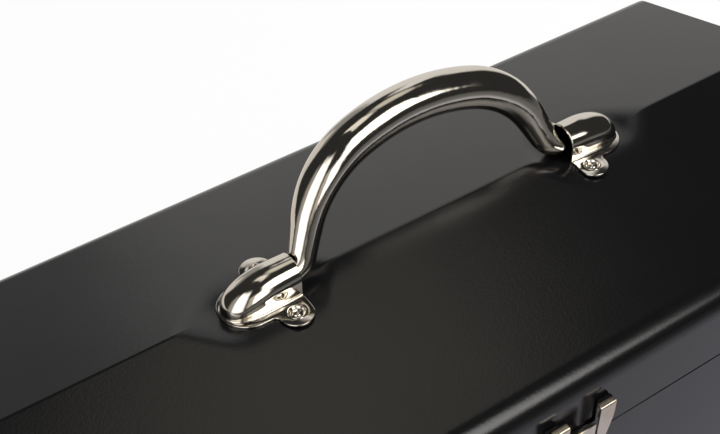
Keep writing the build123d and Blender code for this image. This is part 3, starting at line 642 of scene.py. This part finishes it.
def flangeKnots(side):
    # round nose, straight strip, hollow neck, round ear and a square mouth, then the same mirrored
    strip, neck, ear = bracket["halfStrip"], bracket["neckRadius"], bracket["earRadius"]
    earAt = (bracket["earX"], bracket["earY"])
    drop = strip + neck - earAt[1]
    neckAt = (earAt[0] + sqrt((ear + neck) ** 2 - drop ** 2), strip + neck)
    meet = degrees(atan2(drop, neckAt[0] - earAt[0]))
    upper = arcKnots((bracket["nose"] - strip, 0), strip, 0, 90, 3)
    upper += arcKnots(neckAt, neck, 270, 180 + meet, 2)
    around = arcKnots(earAt, ear, meet, 150, 4)
    upper[-1] = (*upper[-1][:2], around[0][2])
    upper += around[1:]
    # the sheet under the hood was drawn up into it, which leaves a long slot
    mouth, slot = bracket["mouths"][side], bracket["halfWidth"] - bracket["sheet"] / 2
    slotEnd = bracket["nose"] - bracket["margin"] - bracket["sheet"] - slot
    square = [(Vector((mouth, y, 0)),) * 3 for y in (bracket["mouthCorner"], slot)]
    square += arcKnots((slotEnd, 0), slot, 90, -90, 6)
    square += [(Vector((mouth, -y, 0)),) * 3 for y in (slot, bracket["mouthCorner"])]
    lower = [tuple(Vector((spot.x, -spot.y, 0)) for spot in reversed(knot))
             for knot in reversed(upper)]
    return upper + square + lower[:-1]


def flatCurve(name, loops, depth, rounding):
    # closed outlines filled, thickened and given rounded edges, then made a mesh
    curve = bpy.data.curves.new(name, "CURVE")
    curve.dimensions = "2D"
    curve.fill_mode = "BOTH"
    curve.extrude = depth / 2 - rounding
    curve.bevel_depth = rounding
    curve.bevel_resolution = 2
    curve.offset = -rounding
    curve.resolution_u = 10
    for knots in loops:
        spline = curve.splines.new("BEZIER")
        spline.use_cyclic_u = True
        spline.bezier_points.add(len(knots) - 1)
        for point, (left, spot, right) in zip(spline.bezier_points, knots):
            point.handle_left_type = point.handle_right_type = "FREE"
            point.handle_left, point.co, point.handle_right = left, spot, right
    drawn = bpy.data.objects.new(name, curve)
    mesh = bpy.data.meshes.new_from_object(drawn)
    bpy.data.objects.remove(drawn)
    return mesh


def buildBrackets():
    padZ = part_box("handle_brackets")[0].z
    hoods, plates = bmesh.new(), bmesh.new()
    holes = [arcKnots((bracket["earX"], y), bracket["holeRadius"], 360, 0, 4)[:-1]
             for y in (bracket["earY"], -bracket["earY"])]
    for side in (1, -1):
        pressed = flatCurve("flange", [flangeKnots(side), *holes], bracket["sheet"],
                            bracket["edgeRounding"])
        addHood(hoods, side, padZ + bracket["sheet"])
        flat = bmesh.new()
        flat.from_mesh(pressed)
        bmesh.ops.translate(flat, verts=flat.verts, vec=(0, 0, padZ + bracket["sheet"] / 2))
        if side < 0:
            bmesh.ops.rotate(flat, verts=flat.verts, matrix=Matrix.Rotation(pi, 3, "Z"))
        shaped = bpy.data.meshes.new("flange")
        flat.to_mesh(shaped)
        flat.free()
        plates.from_mesh(shaped)
    hood = addPiece("bracket_hoods", hoods, nickelPlate, "lid", ["handle_brackets"],
                    crease=50.0)
    thicken(hood, bracket["sheet"])
    roundEdges(hood, bracket["edgeRounding"], angle=60.0)
    addPiece("bracket_flanges", plates, nickelPlate, "lid", ["handle_brackets"], crease=50.0)


buildBrackets()
print("handle brackets pressed")


# hollow rivets through the bracket ears

hollowRivet = {  # radius and height in millimetres, from the crown round to the shank
    "profile": [(0.0, 0.32), (1.2, 0.28), (1.9, 0.12), (2.3, -0.2), (2.6, -0.6), (3.1, -0.7),
                (3.4, -0.35), (3.6, 0.05), (3.95, 0.34), (4.4, 0.32), (4.7, 0.02), (4.1, -0.1),
                (3.7, -1.0), (2.6, -1.2), (2.6, -3.2), (3.5, -4.2), (1.5, -4.2), (1.5, -1.5),
                (0.0, -1.5)],
    "around": 40, "millimetre": 0.001,
}


def buildHollowRivets():
    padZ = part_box("handle_brackets")[0].z
    bm = bmesh.new()
    unit = hollowRivet["millimetre"]
    earX, earY = bracket["earX"], bracket["earY"]
    for x, y in ((-earX, -earY), (-earX, earY), (earX, -earY), (earX, earY)):
        turned = bmesh.new()
        chain = [turned.verts.new((radius * unit, 0, height * unit))
                 for radius, height in hollowRivet["profile"]]
        line = [turned.edges.new(pair) for pair in zip(chain, chain[1:])]
        bmesh.ops.spin(turned, geom=chain + line, axis=(0, 0, 1), cent=(0, 0, 0), angle=2 * pi,
                       steps=hollowRivet["around"], use_merge=True)
        bmesh.ops.remove_doubles(turned, verts=turned.verts, dist=near)
        bmesh.ops.translate(turned, verts=turned.verts, vec=(x, y, padZ + bracket["sheet"]))
        spun = bpy.data.meshes.new("rivet")
        turned.to_mesh(spun)
        turned.free()
        bm.from_mesh(spun)
    addPiece("hollow_rivets", bm, nickelPlate, "lid", ["bracket_rivets"], crease=60.0)


buildHollowRivets()
print("hollow rivets set")


# draw latch: the claw in sheet metal, and the painted catch with its strap

claw = {
    "lean": -1.2, "sheet": 0.0012, "plateY": 0.0015, "hookReach": 0.0046, "top": 0.0515,
    "innerX": 0.0098, "outerX": 0.0196, "legX": 0.015, "foot": -0.003, "legUp": 0.023,
    "hip": (0.0175, 0.032), "sideEnd": 0.041, "foldRadius": 0.001, "hipRounding": 0.004,
    "footRounding": 0.002, "topRounding": 0.0012,
    "eyeRadius": 0.0029, "eyeSteps": 12, "eyeFoot": -0.002, "eyeTop": 0.022, "eyeX": 0.01035,
    "edgeRounding": 0.0003,
}
catch = {
    "sheet": 0.0012, "halfWidth": 0.021, "bottom": 0.002, "top": 0.0259, "notchHalf": 0.0125,
    "notchUp": 0.012, "ledge": 0.0026, "lipRadius": 0.0007,
    "strapHalf": 0.0075, "strapOut": 0.007, "strapFoot": 0.005, "strapTop": 0.0182,
    "strapRadius": 0.0012, "edgeRounding": 0.0003,
}


foldSteps = {"corner": 6, "fold": 5}


def roundCorner(bm, spot, radius):
    corner = min(bm.verts, key=lambda vert: (vert.co - Vector(spot)).length)
    bmesh.ops.bevel(bm, geom=[corner], offset=radius, offset_type="OFFSET",
                    segments=foldSteps["corner"], profile=0.5, affect="VERTICES",
                    clamp_overlap=True, material=-1)


def foldEdges(bm, edges, radius):
    bmesh.ops.bevel(bm, geom=edges, offset=radius, offset_type="OFFSET",
                    segments=foldSteps["fold"], profile=0.5, affect="EDGES",
                    clamp_overlap=False, material=-1)


def buildClaw():
    # drawn round its pin, upright, then leaned and carried to the joint
    bm = bmesh.new()
    plateY, top = claw["plateY"], claw["top"] - claw["sheet"] / 2
    outline = [(claw["innerX"], top), (claw["innerX"], claw["foot"]), (claw["legX"], claw["foot"]),
               (claw["legX"], claw["legUp"]), claw["hip"], (claw["outerX"], claw["sideEnd"]),
               (claw["outerX"], top)]
    bm.faces.new([bm.verts.new((x, plateY, z)) for x, z in outline])
    roundCorner(bm, (claw["legX"], plateY, claw["foot"]), claw["footRounding"])
    for x, z in ((claw["legX"], claw["legUp"]), claw["hip"], (claw["outerX"], claw["sideEnd"])):
        roundCorner(bm, (x, plateY, z), claw["hipRounding"])
    lip = pullOut(bm, edgesOn(bm, lambda spot: abs(spot.z - top) < near))[0]
    bmesh.ops.translate(bm, verts=lip, vec=(0, claw["hookReach"] - plateY, 0))
    roundCorner(bm, (claw["outerX"], claw["hookReach"], top), claw["topRounding"])
    brow = edgesOn(bm, lambda spot: abs(spot.z - top) < near and abs(spot.y - plateY) < near)
    foldEdges(bm, brow, claw["foldRadius"])
    turns = [pi * (step / claw["eyeSteps"] - 0.5) for step in range(claw["eyeSteps"] + 1)]
    eye = [(-claw["eyeRadius"] * cos(turn), claw["eyeRadius"] * sin(turn)) for turn in turns]
    eye += [(plateY, claw["eyeTop"]), (plateY, claw["eyeFoot"])]
    bm.faces.new([bm.verts.new((claw["eyeX"], y, z)) for y, z in eye])
    whole = [*bm.verts, *bm.edges, *bm.faces]
    bmesh.ops.mirror(bm, geom=whole, axis="X", merge_dist=-1)
    lean = Matrix.Rotation(radians(claw["lean"]), 4, (-1, 0, 0))
    bmesh.ops.transform(bm, matrix=Matrix.Translation(jointPlace("latch_claw_pivot")) @ lean,
                        verts=bm.verts)
    piece = addPiece("latch_claw_plates", bm, agedNickel, "latch_claw", ["latch_claw"])
    thicken(piece, claw["sheet"], 0.0)
    roundEdges(piece, claw["edgeRounding"])


def buildCatch():
    face, low = -lidHigh.y, lidLow.z
    middle = face - catch["sheet"] / 2
    plate = bmesh.new()
    outline = [(-catch["halfWidth"], catch["bottom"]), (catch["halfWidth"], catch["bottom"]),
               (catch["halfWidth"], catch["top"]), (catch["notchHalf"], catch["top"]),
               (catch["notchHalf"], catch["notchUp"]), (-catch["notchHalf"], catch["notchUp"]),
               (-catch["notchHalf"], catch["top"]), (-catch["halfWidth"], catch["top"])]
    lipZ = low + catch["top"] - catch["sheet"] / 2
    spots = [(x, min(low + z, lipZ)) for x, z in outline]
    plate.faces.new([plate.verts.new((x, middle, z)) for x, z in spots])
    lip = pullOut(plate, edgesOn(plate, lambda spot: abs(spot.z - lipZ) < near))[0]
    bmesh.ops.translate(plate, verts=lip, vec=(0, face - catch["ledge"] - middle, 0))
    brow = edgesOn(plate, lambda spot: abs(spot.z - lipZ) < near and abs(spot.y - middle) < near)
    foldEdges(plate, brow, catch["lipRadius"])
    piece = addPiece("catch_plate", plate, blackPaint, "lid", ["lid_catch"])
    thicken(piece, catch["sheet"], 0.0)
    roundEdges(piece, catch["edgeRounding"])

    half = catch["sheet"] / 2
    foot, front = low + catch["strapFoot"] + half, face - catch["strapOut"] + half
    root = face - catch["sheet"]
    points = [(root, foot), (front, foot), (front, low + catch["strapTop"])]
    strap = foldedSheet(points, [(1, catch["strapRadius"], foldSteps["fold"])], catch["strapHalf"])
    piece = addPiece("catch_strap", strap, agedNickel, "lid", ["lid_catch"])
    thicken(piece, catch["sheet"], 0.0)
    roundEdges(piece, catch["edgeRounding"])


buildClaw()
buildCatch()
print("latch claw and catch folded")


# every other part keeps its shape, merged and given soft edges

softened = {
    "black_paint": (blackPaint, 0.0003),
    "zinc_steel": (zincPlate, 0.0002),
    "nickel": (nickelPlate, 0.00025),
    "tray_paint": (trayPaint, 0.0003),
}


flatEnough = 0.5  # degrees between faces that are merged into one


def trimBelow(bm, level):
    # cuts the foot off a part and closes it again
    whole = [*bm.verts, *bm.edges, *bm.faces]
    cut = bmesh.ops.bisect_plane(bm, geom=whole, dist=near / 10, plane_co=(0, 0, level),
                                 plane_no=(0, 0, 1), clear_inner=True)["geom_cut"]
    rim = [item for item in cut if isinstance(item, bmesh.types.BMEdge)]
    bmesh.ops.holes_fill(bm, edges=rim, sides=0)


def softenedCopy(node, body, slot):
    material, rounding = softened[slot]
    if node.startswith("latch"):
        material = agedNickel
    bm = bmesh.new()
    bm.from_mesh(frame["nodes"][node].data)
    bmesh.ops.remove_doubles(bm, verts=bm.verts, dist=near)
    if node == "lid_end_panels":
        trimBelow(bm, lidLow.z + lidSkin["seamGap"])
    bmesh.ops.dissolve_limit(bm, angle_limit=radians(flatEnough), verts=bm.verts, edges=bm.edges)
    piece = addPiece(node + "_finished", bm, material, body, [node], crease=30.0)
    roundEdges(piece, rounding)


bodyOf = {node: body for body, nodes in frame["record"]["behaviour"]["bodies"].items()
          for node in nodes}
for part in frame["record"]["subparts"]:
    if not frame["nodes"][part["node"]].hide_render:
        softenedCopy(part["node"], bodyOf[part["node"]], part["material_slot"])
print("remaining parts finished")


# surroundings, floor and lamp

studio = {
    "floorSize": 12.0, "floorTone": 0.8, "floorWhite": 0.85, "floorGlow": 1.0,
    "floorSeen": 0.85, "floorTint": (0.43, 0.42, 0.475), "floorNear": 0.45, "floorFar": 1.0,
    "floorBehind": (0.05, 0.3), "floorBehindTint": (0.8, 0.77, 0.73),
    "plainLight": 0.7, "gloom": 0.03,
    "softboxes": [  # degrees: clockwise from +Y seen from above, then above the floor
        {"azimuth": 40, "elevation": 15, "wide": 25, "tall": 22, "soft": 6, "strength": 0.84,
         "tint": (1.0, 0.98, 0.95)},
        {"azimuth": 43, "elevation": 42, "wide": 9, "tall": 12, "soft": 4, "strength": 0.88,
         "tint": (1.0, 0.98, 0.95)},
        {"azimuth": 6, "elevation": 12, "wide": 26, "tall": 24, "soft": 9, "strength": 0.35,
         "tint": (1.0, 0.99, 0.98)},
        {"azimuth": 350, "elevation": 3, "wide": 12, "tall": 22, "soft": 5, "strength": 0.8,
         "tint": (1.0, 0.97, 0.92)},
        {"azimuth": 70, "elevation": 90, "wide": 100, "tall": 12, "soft": 3, "strength": 1.1,
         "tint": (1.0, 0.96, 0.88)},
        {"azimuth": 157, "elevation": 37, "wide": 16, "tall": 15, "soft": 5, "strength": 5.0,
         "tint": (1.0, 0.99, 0.95)},
        {"azimuth": 177, "elevation": 19, "wide": 11, "tall": 15, "soft": 4, "strength": 2.6,
         "tint": (1.0, 0.99, 0.95)},
        {"azimuth": 194, "elevation": 20, "wide": 8, "tall": 18, "soft": 5, "strength": 0.6,
         "tint": (1.0, 0.95, 0.86)},
        {"azimuth": 236, "elevation": 27, "wide": 25, "tall": 34, "soft": 7, "strength": 2.0,
         "tint": (1.0, 1.0, 1.0)},
        {"azimuth": 268, "elevation": 22, "wide": 14, "tall": 30, "soft": 9, "strength": 0.42,
         "tint": (1.0, 0.98, 0.95)},
    ],
    "ceilingGlow": {"towards": (0.351, 0.171, 0.921), "inner": 0, "outer": 14, "strength": 0.8,
                    "tint": (1.0, 0.96, 0.82)},
    "lampPower": 40.0, "lampSize": 1.6, "lampPlace": (0.8, -0.9, 2.0),
}


def softboxGlow(tree, way, height, box):
    # one soft-edged panel of light, measured round from its own middle
    turn = radians(box["azimuth"])
    ahead = addNode(tree, "ShaderNodeVectorMath", {0: way, 1: (sin(turn), cos(turn), 0)},
                    operation="DOT_PRODUCT").outputs["Value"]
    aside = addNode(tree, "ShaderNodeVectorMath", {0: way, 1: (cos(turn), -sin(turn), 0)},
                    operation="DOT_PRODUCT").outputs["Value"]
    swing = addNode(tree, "ShaderNodeMath", {0: aside, 1: ahead}, operation="ARCTAN2").outputs[0]
    lift = addNode(tree, "ShaderNodeMath", {0: height, 1: radians(box["elevation"])},
                   operation="SUBTRACT").outputs[0]
    masks = []
    for angle, half in ((swing, box["wide"]), (lift, box["tall"])):
        size = addNode(tree, "ShaderNodeMath", {0: angle}, operation="ABSOLUTE").outputs[0]
        masks.append(addNode(tree, "ShaderNodeMapRange",
                             {"Value": size, "From Min": radians(half + box["soft"]),
                              "From Max": radians(half - box["soft"])},
                             interpolation_type="SMOOTHSTEP").outputs[0])
    both = addNode(tree, "ShaderNodeMath", {0: masks[0], 1: masks[1]}, operation="MULTIPLY").outputs[0]
    return tintedGlow(tree, both, box)


def roundGlow(tree, way, patch):
    towards = Vector(patch["towards"]).normalized()
    facing = addNode(tree, "ShaderNodeVectorMath", {0: way, 1: towards}, operation="DOT_PRODUCT")
    mask = addNode(tree, "ShaderNodeMapRange",
                   {"Value": facing.outputs["Value"], "From Min": cos(radians(patch["outer"])),
                    "From Max": cos(radians(patch["inner"]))}, interpolation_type="SMOOTHSTEP")
    return tintedGlow(tree, mask.outputs[0], patch)


def tintedGlow(tree, mask, panel):
    colour = Vector(panel["tint"]) * panel["strength"]
    glow = addNode(tree, "ShaderNodeVectorMath", {0: colour, "Scale": mask}, operation="SCALE")
    return glow.outputs[0]


def directRays(tree, path):
    # what is seen straight from the camera, or through glass
    return addNode(tree, "ShaderNodeMath", {0: path["Is Camera Ray"], 1: path["Is Transmission Ray"]},
                   operation="MAXIMUM").outputs[0]


def buildWorld():
    world = bpy.data.worlds.new("studio")
    scene.world = world
    world.use_nodes = True
    tree = world.node_tree
    tree.nodes.clear()
    way = addNode(tree, "ShaderNodeTexCoord").outputs["Generated"]
    split = addNode(tree, "ShaderNodeSeparateXYZ", {0: way})
    height = addNode(tree, "ShaderNodeMath", {0: split.outputs["Z"]}, operation="ARCSINE").outputs[0]
    glows = [softboxGlow(tree, way, height, box) for box in studio["softboxes"]]
    total = roundGlow(tree, way, studio["ceilingGlow"])
    for glow in [(studio["gloom"],) * 3, *glows]:
        total = addNode(tree, "ShaderNodeVectorMath", {0: total, 1: glow},
                        operation="MAXIMUM").outputs[0]
    path = addNode(tree, "ShaderNodeLightPath").outputs
    plain = studio["plainLight"]
    mirrored = addNode(tree, "ShaderNodeMix", data_type="RGBA")
    tree.links.new(path["Is Glossy Ray"], mirrored.inputs["Factor"])
    mirrored.inputs["A"].default_value = (plain, plain, plain, 1)
    tree.links.new(total, mirrored.inputs["B"])
    shown = addNode(tree, "ShaderNodeMix", data_type="RGBA")
    tree.links.new(directRays(tree, path), shown.inputs["Factor"])
    tree.links.new(mirrored.outputs["Result"], shown.inputs["A"])
    shown.inputs["B"].default_value = (1, 1, 1, 1)
    light = addNode(tree, "ShaderNodeBackground", {"Color": shown.outputs["Result"]})
    addNode(tree, "ShaderNodeOutputWorld", {"Surface": light.outputs[0]})


def buildFloor():
    bm = bmesh.new()
    bmesh.ops.create_grid(bm, x_segments=1, y_segments=1, size=studio["floorSize"] / 2)
    mesh = bpy.data.meshes.new("floor")
    bm.to_mesh(mesh)
    bm.free()
    floor = bpy.data.objects.new("floor", mesh)
    scene.collection.objects.link(floor)
    material = bpy.data.materials.new("paleFloor")
    material.use_nodes = True
    tree = material.node_tree
    tree.nodes.clear()
    path = addNode(tree, "ShaderNodeLightPath").outputs
    tone = studio["floorTone"]
    plain = addNode(tree, "ShaderNodeBsdfDiffuse", {"Color": (tone, tone, tone, 1)})
    white = addNode(tree, "ShaderNodeEmission", {"Strength": studio["floorGlow"]})
    coords = addNode(tree, "ShaderNodeTexCoord").outputs["Object"]
    away = addNode(tree, "ShaderNodeVectorMath", {0: coords}, operation="LENGTH").outputs["Value"]
    fade = addNode(tree, "ShaderNodeMapRange", {"Value": away, "From Min": studio["floorFar"],
                                                "From Max": studio["floorNear"]},
                   interpolation_type="SMOOTHSTEP")
    split = addNode(tree, "ShaderNodeSeparateXYZ", {0: coords})
    start, end = studio["floorBehind"]
    behind = addNode(tree, "ShaderNodeMapRange", {"Value": split.outputs["Y"], "From Min": start,
                                                  "From Max": end}).outputs[0]
    glow = addNode(tree, "ShaderNodeMath", {0: fade.outputs[0], 1: behind}, operation="MAXIMUM")
    tint = blendColor(tree, behind, studio["floorTint"], studio["floorBehindTint"])
    pale = addNode(tree, "ShaderNodeEmission", {"Color": tint, "Strength": glow.outputs[0]})
    # the camera sees it nearly white, with its shadows, and polished parts see it tinted
    whitened = addNode(tree, "ShaderNodeMath", {0: directRays(tree, path), 1: studio["floorWhite"]},
                       operation="MULTIPLY")
    mirrored = addNode(tree, "ShaderNodeMath", {0: path["Is Glossy Ray"], 1: studio["floorSeen"]},
                       operation="MULTIPLY")
    direct = addNode(tree, "ShaderNodeMixShader", {0: whitened.outputs[0], 1: plain.outputs[0],
                                                   2: white.outputs[0]})
    mixed = addNode(tree, "ShaderNodeMixShader", {0: mirrored.outputs[0], 1: direct.outputs[0],
                                                  2: pale.outputs[0]})
    addNode(tree, "ShaderNodeOutputMaterial", {"Surface": mixed.outputs[0]})
    mesh.materials.append(material)


def buildLamp():
    lamp = bpy.data.lights.new("softLamp", "AREA")
    lamp.shape = "DISK"
    lamp.size = studio["lampSize"]
    lamp.energy = studio["lampPower"]
    holder = bpy.data.objects.new("softLamp", lamp)
    scene.collection.objects.link(holder)
    holder.location = studio["lampPlace"]
    aim = Vector((0, 0, bodyHigh.z)) - holder.location
    holder.rotation_euler = aim.to_track_quat("-Z", "Y").to_euler()
    holder.visible_camera = False
    holder.visible_glossy = False


buildWorld()
buildFloor()
buildLamp()
scene.view_settings.view_transform = "Standard"
print("studio lit")
